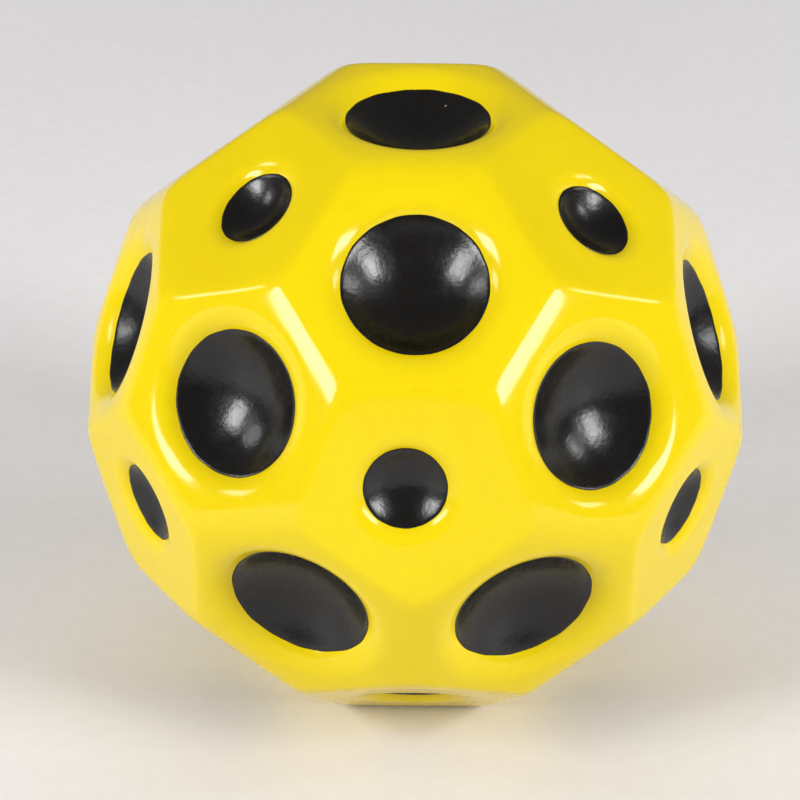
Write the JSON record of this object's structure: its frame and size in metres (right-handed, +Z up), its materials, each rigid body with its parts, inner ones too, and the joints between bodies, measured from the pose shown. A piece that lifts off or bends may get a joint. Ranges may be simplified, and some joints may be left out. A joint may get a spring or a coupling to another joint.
{
  "type": "juggling ball",
  "caption": "Springy foam throwing ball with flat facets, each holding a round black-coated crater, for juggling, catching and bouncing.",
  "frame": {"origin": "centre of the six-sided facet that the ball rests on", "axes": "+Z up through the opposite facet, a three-fold axis of the ball; X = 0 is a mirror plane; -Y towards the nearest large crater below the top one"},
  "size_m": [0.0678, 0.068, 0.064],
  "materials": {
    "foam": "fine closed-cell polyurethane foam, dull",
    "yellow_skin": "smooth glossy moulded polyurethane skin",
    "black_coat": "glossy sprayed flexible coat"
  },
  "bodies": {
    "root": {"foam_core": "foam", "yellow_skin": "yellow_skin", "large_bowl_coat_01": "black_coat", "large_bowl_coat_02": "black_coat", "large_bowl_coat_03": "black_coat", "large_bowl_coat_04": "black_coat", "large_bowl_coat_05": "black_coat", "large_bowl_coat_06": "black_coat", "large_bowl_coat_07": "black_coat", "large_bowl_coat_08": "black_coat", "large_bowl_coat_09": "black_coat", "large_bowl_coat_10": "black_coat", "large_bowl_coat_11": "black_coat", "large_bowl_coat_12": "black_coat", "large_bowl_coat_13": "black_coat", "large_bowl_coat_14": "black_coat", "large_bowl_coat_15": "black_coat", "large_bowl_coat_16": "black_coat", "large_bowl_coat_17": "black_coat", "large_bowl_coat_18": "black_coat", "large_bowl_coat_19": "black_coat", "large_bowl_coat_20": "black_coat", "small_bowl_coat_01": "black_coat", "small_bowl_coat_02": "black_coat", "small_bowl_coat_03": "black_coat", "small_bowl_coat_04": "black_coat", "small_bowl_coat_05": "black_coat", "small_bowl_coat_06": "black_coat", "small_bowl_coat_07": "black_coat", "small_bowl_coat_08": "black_coat", "small_bowl_coat_09": "black_coat", "small_bowl_coat_10": "black_coat", "small_bowl_coat_11": "black_coat", "small_bowl_coat_12": "black_coat"}
  },
  "joints": []
}
